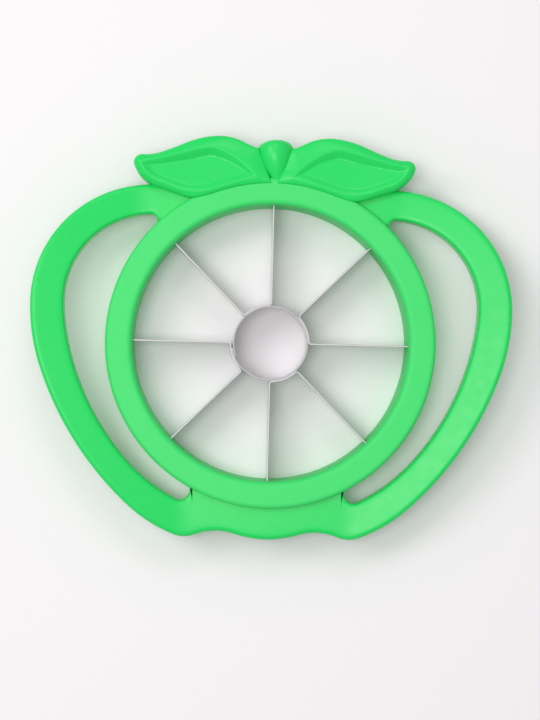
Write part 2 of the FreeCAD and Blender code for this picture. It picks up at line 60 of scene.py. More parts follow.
def grid_faces(rows, columns, ring_rows, ring_columns):
    """Corner numbers of the four-sided faces of a grid, row by row.

    A direction that is a ring joins its last line of points to its first.
    """
    i, j = np.meshgrid(
        np.arange(rows if ring_rows else rows - 1),
        np.arange(columns if ring_columns else columns - 1),
        indexing="ij",
    )
    next_i, next_j = (i + 1) % rows, (j + 1) % columns
    corners = [i * columns + j, next_i * columns + j, next_i * columns + next_j, i * columns + next_j]
    return np.stack(corners, axis=-1).reshape(-1, 4).tolist()


def piece(name, shells, crease=32, edges_apart=1e-4):
    """A mesh object from closed shells, each a pair of points in millimetres and faces.

    Points that coincide are joined and the faces turned outwards. Edges that turn by more than
    crease degrees stay sharp.
    """
    first, every_point, every_face = 0, [], []
    for points, faces in shells:
        every_point.append(np.reshape(points, (-1, 3)) * MM)
        every_face += [[first + corner for corner in face] for face in faces]
        first += len(every_point[-1])
    mesh = bpy.data.meshes.new(name)
    mesh.from_pydata(np.vstack(every_point), [], every_face)
    build = bmesh.new()
    build.from_mesh(mesh)
    bmesh.ops.remove_doubles(build, verts=build.verts, dist=edges_apart * MM)
    bmesh.ops.dissolve_degenerate(build, edges=build.edges, dist=edges_apart * MM)
    bmesh.ops.recalc_face_normals(build, faces=build.faces)
    build.to_mesh(mesh)
    build.free()
    mesh.shade_smooth()
    mesh.set_sharp_from_angle(angle=np.radians(crease))
    made = bpy.data.objects.new(name, mesh)
    bpy.context.scene.collection.objects.link(made)
    return made


def ring_section():
    """The wall's closed outline as (radius, height), from the foot of the outer wall upwards.

    It has a line of points level with the foot of the handles, where they meet the wall.
    """
    outer = [(RING_OUTER, HANDLE_FOOT)]
    foot = rounding((RING_OUTER - SEAM_ROUND, RING_FOOT + SEAM_ROUND), SEAM_ROUND, -90, 0, 4)
    flat = np.linspace(RING_OUTER - RING_OUTER_ROUND, RING_INNER + RING_INNER_ROUND, 6)
    top = [(radius, RING_TOP) for radius in flat]
    outer_round = rounding((top[0][0], RING_TOP - RING_OUTER_ROUND), RING_OUTER_ROUND, 0, 90, 8)
    inner_round = rounding((top[-1][0], RING_TOP - RING_INNER_ROUND), RING_INNER_ROUND, 90, 180, 10)
    inside = [
        (RING_INNER, SLOT_TOP),
        (RING_INNER, RING_FOOT),
        (CHANNEL_INNER, RING_FOOT),
        (CHANNEL_INNER, SLOT_TOP),
        (CHANNEL_INNER, CHANNEL_TOP),
        (CHANNEL_OUTER, CHANNEL_TOP),
        (CHANNEL_OUTER, RING_FOOT),
    ]
    return np.vstack([foot, outer, outer_round, top[1:-1], inner_round, inside])


def slotted_ring(section):
    """The section turned about the axis: (r cos a, r sin a, z).

    Beside each slot the angle is that of a line parallel to the slot's middle, a +- asin(h / r),
    and within it the inner wall's points are lifted to the slot's ceiling.
    """
    radius, height = section[:, 0], section[:, 1]
    in_wall = (radius < CHANNEL_INNER + 0.01) & (height < SLOT_TOP)
    lifted = np.where(in_wall, SLOT_TOP, height)
    side = np.arcsin(SLOT_HALF / radius)
    pitch = 2 * np.pi / WEDGES
    middle = np.arange(WEDGES)[:, None, None] * pitch
    share = np.linspace(0, 1, 31)[:, None]
    between = middle + side + (pitch - 2 * side) * share
    angle = np.concatenate([middle - side, middle + side, between], axis=1)
    z = np.broadcast_to(height, angle.shape).copy()
    z[:, :2] = lifted
    points = np.stack([radius * np.cos(angle), radius * np.sin(angle), z], axis=-1)
    return points.reshape(-1, len(section), 3)


ring_points = slotted_ring(ring_section())
ring_wall = piece("ring_wall", [(ring_points, grid_faces(*ring_points.shape[:2], True, True))])


def moulded_grain():
    """Node group: the fine texture of the mould on green plastic.

    Its shade is noise over a few centimetres, where the melt cooled unevenly. Its roughness is
    finer noise upwards from Matt. Its normal is the spark-eroded grain of the steel mould, a few
    tenths of a millimetre.
    """
    group = bpy.data.node_groups.new("moulded_grain", "ShaderNodeTree")
    for title, kind in (("Base", "Color"), ("Deep", "Color"), ("Grain", "Float"), ("Matt", "Float")):
        group.interface.new_socket(title, in_out="INPUT", socket_type="NodeSocket" + kind)
    for title, kind in (("Color", "Color"), ("Roughness", "Float"), ("Normal", "Vector")):
        group.interface.new_socket(title, in_out="OUTPUT", socket_type="NodeSocket" + kind)
    nodes, links = group.nodes, group.links
    given, out = nodes.new("NodeGroupInput"), nodes.new("NodeGroupOutput")
    place = nodes.new("ShaderNodeTexCoord")

    def noise(scale, detail):
        """Noise in the object's own space, with scale waves to the metre."""
        made = nodes.new("ShaderNodeTexNoise")
        made.inputs["Scale"].default_value = scale
        made.inputs["Detail"].default_value = detail
        links.new(place.outputs["Object"], made.inputs["Vector"])
        return made.outputs["Fac"]

    shade = nodes.new("ShaderNodeMix")
    shade.data_type = "RGBA"
    links.new(noise(45, 3), shade.inputs["Factor"])
    links.new(given.outputs["Base"], shade.inputs["A"])
    links.new(given.outputs["Deep"], shade.inputs["B"])
    polish = nodes.new("ShaderNodeMapRange")
    polish.inputs["From Min"].default_value = 0.3
    polish.inputs["From Max"].default_value = 0.7
    polish.inputs["To Max"].default_value = 0.07
    links.new(noise(300, 4), polish.inputs["Value"])
    roughness = nodes.new("ShaderNodeMath")
    links.new(polish.outputs["Result"], roughness.inputs[0])
    links.new(given.outputs["Matt"], roughness.inputs[1])
    grain = nodes.new("ShaderNodeBump")
    grain.inputs["Distance"].default_value = 0.00002
    links.new(given.outputs["Grain"], grain.inputs["Strength"])
    links.new(noise(3500, 2), grain.inputs["Height"])
    links.new(shade.outputs["Result"], out.inputs["Color"])
    links.new(roughness.outputs["Value"], out.inputs["Roughness"])
    links.new(grain.outputs["Normal"], out.inputs["Normal"])
    return group


def green_plastic(name, base, deep, grain, matt, shine):
    """Green plastic with the mould's grain.

    Its colour varies from base to deep, grain is the depth of the texture, matt the least
    roughness and shine the specular level.
    """
    material = bpy.data.materials.new(name)
    material.use_nodes = True
    nodes, links = material.node_tree.nodes, material.node_tree.links
    shader = nodes["Principled BSDF"]
    shader.inputs["Specular IOR Level"].default_value = shine
    texture = nodes.new("ShaderNodeGroup")
    texture.node_tree = bpy.data.node_groups.get("moulded_grain") or moulded_grain()
    texture.inputs["Base"].default_value = (*base, 1)
    texture.inputs["Deep"].default_value = (*deep, 1)
    texture.inputs["Grain"].default_value = grain
    texture.inputs["Matt"].default_value = matt
    links.new(texture.outputs["Color"], shader.inputs["Base Color"])
    links.new(texture.outputs["Roughness"], shader.inputs["Roughness"])
    links.new(texture.outputs["Normal"], shader.inputs["Normal"])
    return material


# The ring's flat top is the matt part of the mould. The whole ring's colour is also painted paler than the
# rest of the moulding, a painted sheen.
ring_green_painted_sheen = green_plastic("ring_green_painted_sheen", (0.052, 0.72, 0.165), (0.045, 0.69, 0.150), 0.8, 0.48, 0.35)
ring_wall.data.materials.append(ring_green_painted_sheen)
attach(ring_wall, "root")
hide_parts("apple_frame")

# ---------------------------------------------------------------- handles and lobes
# One band of the same moulding on each side, from the bottom lobes round the cheek to the
# shoulder. It is a plate with a skirt, hollow from below and stiffened by cross ribs, and it
# rises outwards past a soft fold so that the fingers fit under it.
PLATE_TOP, PLATE_DEPTH, PLATE_WALL = 17.0, 8.0, 2.0
WING_TILT, WING_BEND, FOLD_OFFSET, FOLD_LEAN = np.radians(10.0), 40.0, 34.0, np.radians(9.0)
GRIP_ROUND, LOOP_ROUND, WALL_OVERLAP = 1.6, 1.0, 1.0
RIB_ANGLES, RIB_HALF, RIB_SETBACK = (-74, -50, -28, -6, 16), 0.75, 1.5


def tangent_arcs(start, direction, points, steps=24):
    """Arcs from start through the points, each tangent to the one before it.

    Between two points the arc turns evenly by twice the angle from its start to its chord, so
    its point at share t lies at chord sin(t h) / sin(h), turned by t h - h, for half turn h.
    """
    line = [np.array([start], float)]
    place, heading = complex(*start), complex(*direction)
    share = np.linspace(0, 1, steps + 1)[1:]
    for point in points:
        chord = complex(*point) - place
        half_turn = np.angle(chord / heading)
        reached = chord * np.sin(share * half_turn) / np.sin(half_turn)
        arc = place + reached * np.exp(1j * (share - 1) * half_turn)
        line.append(np.stack([arc.real, arc.imag], axis=1))
        place, heading = complex(*point), heading * np.exp(2j * half_turn)
    return np.vstack(line)


def stepped(line, stops, counts):
    """Points along a dense line, in even steps between stops, which are places near the line."""
    gaps = np.linalg.norm(np.diff(line, axis=0), axis=1)
    length = np.concatenate([[0], np.cumsum(gaps)])
    nearest = [np.argmin(np.linalg.norm(line - np.array(stop), axis=1)) for stop in stops]
    reached = length[nearest]
    at = [np.linspace(a, b, n, endpoint=False) for a, b, n in zip(reached, reached[1:], counts)]
    at = np.concatenate(at + [reached[-1:]])
    return np.stack([np.interp(at, length, line[:, 0]), np.interp(at, length, line[:, 1])], axis=1)


def inward(line):
    """Mitred normals to the left of a line of points: (m + n) / (1 + m . n).

    m and n are the unit normals of the steps before and after each point.
    """
    step = np.diff(line, axis=0)
    step /= np.linalg.norm(step, axis=1)[:, None]
    normal = np.stack([-step[:, 1], step[:, 0]], axis=1)
    before, after = np.vstack([normal[:1], normal]), np.vstack([normal, normal[-1:]])
    return (before + after) / (1 + np.sum(before * after, axis=1))[:, None]


def wing_height(place):
    """Height of a handle's top: level, then a cylinder about the fold, then a slope.

    With u the distance outwards past the fold, R the bend's radius and a the tilt, the rise is
    0 for u < 0, R - sqrt(R^2 - u^2) up to u = R sin a, and from there on a straight slope tan a.
    """
    past = (place[..., 0] - FOLD_OFFSET) * np.cos(FOLD_LEAN) - place[..., 1] * np.sin(FOLD_LEAN)
    in_bend = np.clip(past, 0, WING_BEND * np.sin(WING_TILT))
    bend = WING_BEND - np.sqrt(WING_BEND**2 - in_bend**2)
    return PLATE_TOP + bend + np.maximum(past - in_bend, 0) * np.tan(WING_TILT) * (past > 0)


def circle(radius, start, end, steps=120):
    """Points of an arc about the axis, from start to end in degrees."""
    return rounding((0, 0), radius, start, end, steps)


# The outer edge, from the middle of the bottom to under the leaf, and the inner edge beside it,
# which follows the inside of the ring's wall, then the loop opening, then the ring again.
shoulder = rounding((39.8, 12.0), 40.2, 90, 0, 60)
cheek = tangent_arcs(
    (80, 12),
    (0, -1),
    [(76.4, -9.5), (46.6, -54.9), (31.1, -64.6), (23.9, -64.6), (10.8, -64.1), (0, -65.8)],
)
SHOULDER_LINE = 52.2
under_leaf = np.linspace((39.0, SHOULDER_LINE), (12.0, SHOULDER_LINE), 40)
outer_line = np.vstack([cheek[::-1], shoulder[::-1][1:], under_leaf])
flank = tangent_arcs((69.1, 12.8), (0, -1), [(68.6, 5.7), (47.7, -39.6), (30.7, -52.8)])
loop_end = rounding((29.2, -49.86), 3.3, -180, -63, 40)
arch = rounding((39.5, 12.8), 29.6, 0, 86.652, 60)
arch_corner = rounding((41.1, 40.153), 2.2, 86.652, 180, 16)
WALL_LINE = 53.4
inner_line = np.vstack(
    [
        circle(WALL_LINE, -90, np.degrees(np.arctan2(-46.67, 25.9))),
        np.linspace((25.9, -46.9), (25.9, -49.5), 12),
        loop_end,
        flank[::-1][1:],
        arch[1:],
        arch_corner[1:],
        np.linspace((38.9, 40.0), (38.9, 36.7), 24),
        circle(WALL_LINE, np.degrees(np.arctan2(36.58, 38.9)), 77),
    ]
)

# Places that face each other across the band, as (outer, inner), and the steps between them.
facing = [
    ((0, -65.8), (0, -53.4)),
    ((21.5, -63.4), (25.9, -46.7)),
    ((26.5, -65.3), (25.9, -49.86)),
    ((34, -63.6), (28.5, -53.1)),
    ((41, -59.6), (33.5, -50.9)),
    ((76.4, -9.5), (66.6, -4.0)),
    ((80, 12), (69.1, 12.8)),
    ((57, 48.3), (53, 39.2)),
    ((41.2, SHOULDER_LINE), (41.23, 42.35)),
    ((39.4, SHOULDER_LINE), (38.9, 40.15)),
    ((32, SHOULDER_LINE), (38.9, 36.6)),
    ((12, SHOULDER_LINE), (12, 52.0)),
]
outer_stops, inner_stops = zip(*facing)
band_counts = [30, 10, 14, 14, 70, 16, 40, 20, 12, 12, 16]
outer_edge = stepped(outer_line, outer_stops, band_counts)
inner_edge = stepped(inner_line, inner_stops, band_counts)


def band_section():
    """The band's closed outline as rows of (share across, inset from the near edge, drop).

    Share 0 lies at the outer edge and 1 at the inner one, and drop is the depth below the top.
    """
    grip = rounding((GRIP_ROUND, GRIP_ROUND), GRIP_ROUND, 180, 270, 7)
    loop = rounding((LOOP_ROUND, LOOP_ROUND), LOOP_ROUND, 270, 180, 5)
    across = np.linspace(0, 1, 9)
    top = np.stack([across, GRIP_ROUND + (LOOP_ROUND - GRIP_ROUND) * across, 0 * across], axis=1)
    ceiling = np.stack([across[::-1], 0 * across + PLATE_WALL, 0 * across + PLATE_WALL], axis=1)
    return np.vstack(
        [
            [(0, 0, PLATE_DEPTH)],
            np.insert(grip, 0, 0, axis=1),
            top[1:-1],
            np.insert(loop, 0, 1, axis=1),
            [(1, 0, PLATE_DEPTH), (1, PLATE_WALL, PLATE_DEPTH)],
            ceiling,
            [(0, PLATE_WALL, PLATE_DEPTH)],
        ]
    )


def band(outer, inner, section):
    """Both edges drawn in by the inset along their normals, joined by the share across.

    Place = (1 - s)(outer + inset n) + s (inner - inset m), and height = wing height - drop.
    Inside the ring's wall the inner edge isn't drawn in: its inset fades out over the overlap.
    """
    share, inset, drop = (column[None, :, None] for column in section.T)
    past_wall = np.linalg.norm(inner, axis=1) - RING_OUTER
    clear = np.clip((past_wall + WALL_OVERLAP) / WALL_OVERLAP, 0, 1)[:, None, None]
    from_outer = outer[:, None] + inset * inward(outer)[:, None]
    from_inner = inner[:, None] - inset * clear * inward(inner)[:, None]
    place = (1 - share) * from_outer + share * from_inner
    height = wing_height(place) - drop[..., 0]
    return np.concatenate([place, height[..., None]], axis=2)


def rib(angle):
    """A cross rib in the hollow: a thin slab on a ray from the axis, from edge to edge.

    Its corners are ray * along + side * across, at the handle's top less the drop, for both
    ends, both sides, and top and foot.
    """
    ray = np.array([np.cos(np.radians(angle)), np.sin(np.radians(angle))])
    side = np.array([-ray[1], ray[0]]) * RIB_HALF
    ends = []
    for edge, inset in ((inner_edge, PLATE_WALL / 2), (outer_edge, -PLATE_WALL / 2)):
        middle = len(edge) * 3 // 4
        turn = np.unwrap(np.arctan2(edge[:middle, 1], edge[:middle, 0]))
        ends.append(np.interp(np.radians(angle), turn, np.linalg.norm(edge[:middle], axis=1)) + inset)
    along = np.array([max(ends[0], RING_OUTER - WALL_OVERLAP), ends[1]])[:, None, None, None]
    across = np.array([-1, 1])[None, :, None, None]
    drop = np.array([PLATE_WALL / 2, PLATE_DEPTH - RIB_SETBACK])
    place = np.repeat(ray * along + side * across, 2, axis=2)
    corners = np.concatenate([place, (wing_height(place) - drop)[..., None]], axis=-1)
    faces = [(0, 1, 3, 2), (4, 6, 7, 5), (0, 4, 5, 1), (2, 3, 7, 6), (1, 5, 7, 3), (0, 2, 6, 4)]
    return corners.reshape(-1, 3), faces


def both_sides(shells):
    """The shells and their images in the plane between the handles, x to -x."""
    flip = np.array([-1, 1, 1])
    images = []
    for points, faces in shells:
        images.append((np.reshape(points, (-1, 3)) * flip, [face[::-1] for face in faces]))
    return shells + images


# The two bands run into each other at the bottom, so only the end under the leaf is closed.
band_points = band(outer_edge, inner_edge, band_section())
band_points[0, :, 0] = 0
rows, columns = band_points.shape[:2]
band_faces = grid_faces(rows, columns, False, True) + [list(range((rows - 1) * columns, rows * columns))]
handles = piece("handles", both_sides([(band_points, band_faces)] + [rib(angle) for angle in RIB_ANGLES]))
frame_green = green_plastic("frame_green", (0.020, 0.69, 0.130), (0.017, 0.66, 0.120), 0.5, 0.25, 0.26)
handles.data.materials.append(frame_green)
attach(handles, "root")
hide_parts("apple_frame")

# ---------------------------------------------------------------- leaves
# Two leaves lie against the ring's +Y side, part of the same moulding. Each has a sunk field, a
# rounded crest round it, and a rim that falls away to the edge. They are hollow from below.
LEAF_TOP, LEAF_FOOT, LEAF_WALL, LEAF_CEILING = 21.2, 9.0, 2.0, 17.6
OVER_PLATE_FROM, INTO_PLATE = 26.0, 1.0
RIM_DROP, RING_SIDE_DROP, RIM_SPREAD, RIM_ROUND, CREST_ROUND = 1.4, 0.75, 3.0, 0.7, 1.0
FIELD_DEPTH, FIELD_SLOPE, UPPER_WALL_SLOPE, LOWER_WALL_SLOPE = 0.6, 0.10, 0.85, 0.6
WALLS_BLEND, FLOOR_BLEND = 0.1, 0.06

# The outline, from the root along the ring, away over the shoulder to the tip and back.
LEAF_ROOT, UPPER_ROOT, FIELD_ROOT, FIELD_TIP = (0.8, 53.194), (5.5, 64.8), (6.0, 55.2), (44.8, 59.4)
LEAF_MIDDLE, TIP_START, TIP_SHORT, ROOT_GAP = 20.0, 43.0, 0.02, 0.2
leaf_line = tangent_arcs(
    LEAF_ROOT,
    (1, -0.015),
    [
        (12.0, 51.85),
        (20.0, 49.45),
        (24.5, 48.1),
        (28.5, 47.95),
        (33.0, 49.1),
        (38.3, 50.9),
        (44.2, 54.3),
        (46.9, 58.6),
        (46.3, 61.0),
        (44.0, 61.9),
        (38.0, 62.8),
        (30.0, 66.0),
        (20.0, 68.6),
        (10.0, 66.6),
        UPPER_ROOT,
    ],
    40,
)
leaf_end = np.argmax(leaf_line[:, 0])
leaf_lower = leaf_line[: leaf_end + 1]
leaf_upper = np.vstack([leaf_line[leaf_end:], np.linspace(UPPER_ROOT, LEAF_ROOT, 30)[1:]])[::-1]
field_lower = tangent_arcs(
    FIELD_ROOT,
    (1, -0.22),
    [(13, 53.3), (20, 51.05), (27, 49.95), (33, 51.05), (38.6, 53.1), FIELD_TIP],
)
field_upper = tangent_arcs(
    FIELD_ROOT,
    (0.62, 0.78),
    [(11.1, 60.2), (18.7, 64.3), (23.5, 64.6), (30.2, 62.9), FIELD_TIP],
)


def gap_to(line, place):
    """Distance from each place to the nearest step of a line of points."""
    start, step = line[:-1], np.diff(line, axis=0)
    along = np.sum((place[..., None, :] - start) * step, axis=-1) / np.sum(step**2, axis=1)
    nearest = start + step * np.clip(along, 0, 1)[..., None]
    return np.sqrt(np.min(np.sum((place[..., None, :] - nearest) ** 2, axis=-1), axis=-1))


def leaf_height(place, in_field):
    """Height of the leaf's top at each place.

    On the rim, with s the share of the way from crest to edge, it drops by s^1.5 of the drop,
    which is less beside the ring, and by a quarter round at the very edge. In the field two walls
    slope down from the two sides, at distance d by slope d^2 / (d + crest round), to a floor that
    deepens away from the ring. They are blended by (a + b - sqrt((a - b)^2 + k^2)) / 2.
    """

    def blended(a, b, k):
        """The lesser of a and b, with the corner between them rounded over about k."""
        return (a + b - np.sqrt((a - b) ** 2 + k**2)) / 2

    def wall(gap, slope):
        """Depth of a wall at a distance from its crest."""
        return slope * gap**2 / (gap + CREST_ROUND)

    edge = gap_to(np.vstack([leaf_lower, leaf_upper[-2::-1]]), place)
    low, high = gap_to(field_lower, place), gap_to(field_upper, place)
    crest = np.minimum(low, high)
    share = crest / np.maximum(crest + edge, 1e-6)
    from_edge = np.minimum(edge, RIM_ROUND)
    rounded = RIM_ROUND - np.sqrt(RIM_ROUND**2 - (RIM_ROUND - from_edge) ** 2)
    past_ring = np.linalg.norm(place, axis=-1) - RING_OUTER
    rim_drop = np.interp(past_ring, [0, RIM_SPREAD], [RING_SIDE_DROP, RIM_DROP])
    rim = rim_drop * share**1.5 + rounded
    walls = blended(wall(high, UPPER_WALL_SLOPE), wall(low, LOWER_WALL_SLOPE), WALLS_BLEND)
    field = np.maximum(blended(walls, FIELD_DEPTH + FIELD_SLOPE * low, FLOOR_BLEND), 0)
    return LEAF_TOP - np.where(in_field, field, rim)


def leaf_shell():
    """The leaf as closed lines round it, one at each x from the root to the tip.

    Each line goes up from the lower edge's foot, over the top by way of the field's two edges,
    down to the upper edge's foot and back through the hollow. Where the field or the hollow
    has no width, its lines fall together. The first and last lines are closed by a face each.
    """
    tip_x = leaf_line[leaf_end, 0] - TIP_SHORT
    x = np.concatenate(
        [
            np.linspace(LEAF_ROOT[0] + ROOT_GAP, UPPER_ROOT[0], 14, endpoint=False),
            np.linspace(UPPER_ROOT[0], TIP_START, 90, endpoint=False),
            tip_x - (tip_x - TIP_START) * np.cos(np.linspace(0, np.pi / 2, 24)) ** 1.5,
        ]
    )
    low, high = np.interp(x, *leaf_lower.T), np.interp(x, *leaf_upper.T)
    beyond = (x < FIELD_ROOT[0]) | (x > FIELD_TIP[0])
    shares = []
    for end_x, end_y in (FIELD_ROOT, FIELD_TIP):
        end_low, end_high = np.interp(end_x, x, low), np.interp(end_x, x, high)
        shares.append((end_y - end_low) / (end_high - end_low))
    middle = low + (high - low) * np.where(x < LEAF_MIDDLE, *shares)
    field_low = np.where(beyond, middle, np.interp(x, *field_lower.T))
    field_high = np.where(beyond, middle, np.interp(x, *field_upper.T))
    towards = (1 - np.cos(np.linspace(0, np.pi, 17))) / 2
    across = (1 - np.cos(np.linspace(0, np.pi, 37))) / 2
    rows = np.concatenate(
        [
            low + (field_low - low) * towards[:, None],
            field_low + (field_high - field_low) * across[1:-1, None],
            field_high + (high - field_high) * towards[:, None],
        ]
    )
    place = np.stack([np.broadcast_to(x, rows.shape), rows], axis=-1)
    in_field = np.zeros(rows.shape, bool)
    in_field[17:-17] = ~beyond
    top = np.concatenate([place, leaf_height(place, in_field)[..., None]], axis=-1)
    slant_low, slant_high = (np.hypot(1, np.gradient(line, x)) for line in (low, high))
    room_low = np.maximum(low + LEAF_WALL * slant_low, np.sqrt(RING_OUTER**2 - x**2))
    room_high = high - LEAF_WALL * slant_high
    narrow = room_low > room_high
    centre = np.clip((room_low + room_high) / 2, low, high)
    room_low, room_high = np.where(narrow, centre, room_low), np.where(narrow, centre, room_high)
    # Where the lower edge lies over the handle, its foot is just below the plate's level top.
    over_plate = (low < SHOULDER_LINE) & (x > OVER_PLATE_FROM)
    low_foot = np.where(over_plate, PLATE_TOP - INTO_PLATE, LEAF_FOOT)
    ceiling = np.where(narrow, LEAF_FOOT, LEAF_CEILING)

    def line_at(y, z):
        """One line of points along the leaf."""
        return np.stack([x, y, np.broadcast_to(z, x.shape)], axis=-1)[None]

    below = [
        (high, LEAF_FOOT),
        (room_high, LEAF_FOOT),
        (room_high, ceiling),
        (room_low, ceiling),
        (room_low, low_foot),
        (low, low_foot),
    ]
    points = np.concatenate([top] + [line_at(y, z) for y, z in below])
    rows, columns = points.shape[:2]
    ends = [list(range(0, rows * columns, columns)), list(range(columns - 1, rows * columns, columns))]
    return points, grid_faces(rows, columns, True, False) + ends


leaves = piece("leaves", both_sides([leaf_shell()]))
leaves.data.materials.append(frame_green)
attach(leaves, "root")
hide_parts("apple_frame")

# ---------------------------------------------------------------- stem
# A short round stem between the leaves, part of the same moulding. It swells from its root on
# the ring to a domed end, dips away from the ring and leans a little to the left.
STEM_ROOT, STEM_DIP, STEM_LEAN = (1.0, 53.4, 18.9), np.radians(16.0), np.radians(5.0)
STEM_ROOT_RADIUS, STEM_RADIUS, SWELL_LENGTH, DOME_LENGTH = 0.7, 6.1, 11.6, 3.1


def stem_section():
    """The stem's outline as (distance from the axis, distance along it).

    With s the share of the swell, the radius is root + (full - root) sin(90 s), and the dome
    after it is a quarter of an ellipse.
    """
    share = np.linspace(0, 1, 22)
    swell = STEM_ROOT_RADIUS + (STEM_RADIUS - STEM_ROOT_RADIUS) * np.sin(share * np.pi / 2)
    angle = np.linspace(0, np.pi / 2, 14)[1:-1]
    dome = np.stack([STEM_RADIUS * np.cos(angle), SWELL_LENGTH + DOME_LENGTH * np.sin(angle)], axis=1)
    ends = [(0, 0)], [(0, SWELL_LENGTH + DOME_LENGTH)]
    return np.vstack([ends[0], np.stack([swell, share * SWELL_LENGTH], axis=1), dome, ends[1]])


def turned(section, steps):
    """A section (distance from the axis, distance along it) turned about +Y: a full round."""
    angle = np.linspace(0, 2 * np.pi, steps, endpoint=False)[:, None]
    away, along = section[:, 0], section[:, 1]
    return np.stack([away * np.cos(angle), along + 0 * angle, away * np.sin(angle)], axis=2)


dip_and_lean = Matrix.Rotation(STEM_LEAN, 3, "Z") @ Matrix.Rotation(-STEM_DIP, 3, "X")
stem_points = turned(stem_section(), 72) @ np.array(dip_and_lean).T + STEM_ROOT
stem = piece("stem", [(stem_points, grid_faces(*stem_points.shape[:2], True, False))])
stem.data.materials.append(frame_green)
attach(stem, "root")
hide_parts("apple_frame")

# ---------------------------------------------------------------- base ring
# A second, flat ring of the same plastic. Its spigot presses up into the channel and holds the
# blades' tabs there, and its flange is what the slicer stands on.
BASE_HEIGHT, BASE_ROUND, BASE_INNER_ROUND = 2.5, 0.8, 0.4
SPIGOT_OUTER, SPIGOT_INNER, SPIGOT_TOP = 53.15, 49.0, 6.5

base_section = np.vstack(
    [
        rounding((RING_OUTER - BASE_ROUND, BASE_ROUND), BASE_ROUND, -90, 0, 6),
        rounding((RING_OUTER - SEAM_ROUND, BASE_HEIGHT - SEAM_ROUND), SEAM_ROUND, 0, 90, 4),
        [
            (SPIGOT_OUTER, BASE_HEIGHT),
            (SPIGOT_OUTER, SPIGOT_TOP),
            (SPIGOT_INNER, SPIGOT_TOP),
            (SPIGOT_INNER, BASE_HEIGHT),
        ],
        rounding((RING_INNER + SEAM_ROUND, BASE_HEIGHT - SEAM_ROUND), SEAM_ROUND, 90, 180, 4),
        rounding((RING_INNER + BASE_INNER_ROUND, BASE_INNER_ROUND), BASE_INNER_ROUND, 180, 270, 5),
    ]
)

# The section turned about the axis: (r cos a, r sin a, z).
radius, height = base_section.T
turn = np.linspace(0, 2 * np.pi, 288, endpoint=False)[:, None]
base_points = np.stack([radius * np.cos(turn), radius * np.sin(turn), height + 0 * turn], axis=2)
base_ring = piece("base_ring_body", [(base_points, grid_faces(*base_points.shape[:2], True, True))])
base_green = green_plastic("base_green", (0.024, 0.73, 0.137), (0.019, 0.69, 0.124), 0.5, 0.30, 0.26)
base_ring.data.materials.append(base_green)
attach(base_ring, "root")
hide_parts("base_ring")

# ---------------------------------------------------------------- core ring
# A strip of stainless steel rolled into a tube, its ends lapped with a small joggle so that the
# bore stays round. The lower edge is ground sharp on both sides.
STRIP, STRIP_TOP, EDGE_FOOT, GRIND_HEIGHT, GRIND_DEPTH = 0.5, 16.8, 0.3, 0.7, 0.2
CORE_RADIUS, SEAM_ANGLE, LAP_ARC, JOGGLE_ARC, JOGGLE_RADIUS, LAP_GAP = 12.1, 201.0, 13.0, 20.0, 6.0, 0.05
core_outer = CORE_RADIUS + STRIP
lap_outer = core_outer + LAP_GAP + STRIP


def polar(radius, degrees):
    """The point at that radius and angle about the axis."""
    return radius * np.array([np.cos(np.radians(degrees)), np.sin(np.radians(degrees))])


def core_line():
    """Middle line of the core ring: the lap, a bend in, a bend back, and the ring's own round."""
    inner, outer = core_outer - STRIP / 2, lap_outer - STRIP / 2
    joggle_start = SEAM_ANGLE + LAP_ARC
    joggle_end = joggle_start + JOGGLE_ARC
    out, short = outer - JOGGLE_RADIUS, inner - JOGGLE_RADIUS
    back = (out**2 - short**2) / (2 * (out * np.cos(np.radians(JOGGLE_ARC)) - short))
    bend_in, bend_back = polar(out, joggle_start), polar(back, joggle_end)
    gap = bend_back - bend_in
    link = np.degrees(np.arctan2(gap[1], gap[0])) % 360
    return np.vstack(
        [
            circle(outer, SEAM_ANGLE - LAP_ARC, joggle_start, 24),
            rounding(bend_in, JOGGLE_RADIUS, joggle_start, link, 10)[1:],
            rounding(bend_back, back - inner, link + 180, joggle_end + 180, 10)[1:],
            circle(inner, joggle_end, SEAM_ANGLE + 360, 160)[1:],
        ]
    )


def strip_shell(line, raised=None):
    """A strip on edge along its middle line, with a ground lower edge and burr-free corners.

    Each point of the section is (offset to the left, height). Where raised is given, heights
    below it are lifted to it, which leaves the notch that stands on the base ring.
    """
    half, corner_cut = STRIP / 2, 0.06
    section = np.array(
        [
            (-half + GRIND_DEPTH, EDGE_FOOT),
            (-half, EDGE_FOOT + GRIND_HEIGHT),
            (-half, STRIP_TOP - corner_cut),
            (-half + corner_cut, STRIP_TOP),
            (half - corner_cut, STRIP_TOP),
            (half, STRIP_TOP - corner_cut),
            (half, EDGE_FOOT + GRIND_HEIGHT),
            (half - GRIND_DEPTH, EDGE_FOOT),
        ]
    )
    place = line[:, None] + inward(line)[:, None] * section[None, :, :1]
    height = np.repeat(section[None, :, 1], len(line), axis=0)
    if raised is not None:
        height = np.maximum(height, raised[:, None])
    points = np.concatenate([place, height[..., None]], axis=2)
    rows, columns = points.shape[:2]
    ends = [list(range(columns)), list(range((rows - 1) * columns, rows * columns))]
    return points, grid_faces(rows, columns, False, True) + ends


def brushed_steel(name, shade, sheared, streak):
    """Strip steel with fine rolling lines that run along it, from noise stretched level.

    Shade is the colour of its sides, sheared that of its top edge, and streak the lines' depth.
    """
    material = bpy.data.materials.new(name)
    material.use_nodes = True
    nodes, links = material.node_tree.nodes, material.node_tree.links
    shader = nodes["Principled BSDF"]
    shader.inputs["Metallic"].default_value = 1.0
    texture = nodes.new("ShaderNodeGroup")
    texture.node_tree = bpy.data.node_groups.get("rolling_lines") or rolling_lines()
    texture.inputs["Shade"].default_value = (*shade, 1)
    texture.inputs["Sheared"].default_value = (*sheared, 1)
    texture.inputs["Streak"].default_value = streak
    links.new(texture.outputs["Color"], shader.inputs["Base Color"])
    links.new(texture.outputs["Roughness"], shader.inputs["Roughness"])
    links.new(texture.outputs["Normal"], shader.inputs["Normal"])
    return material


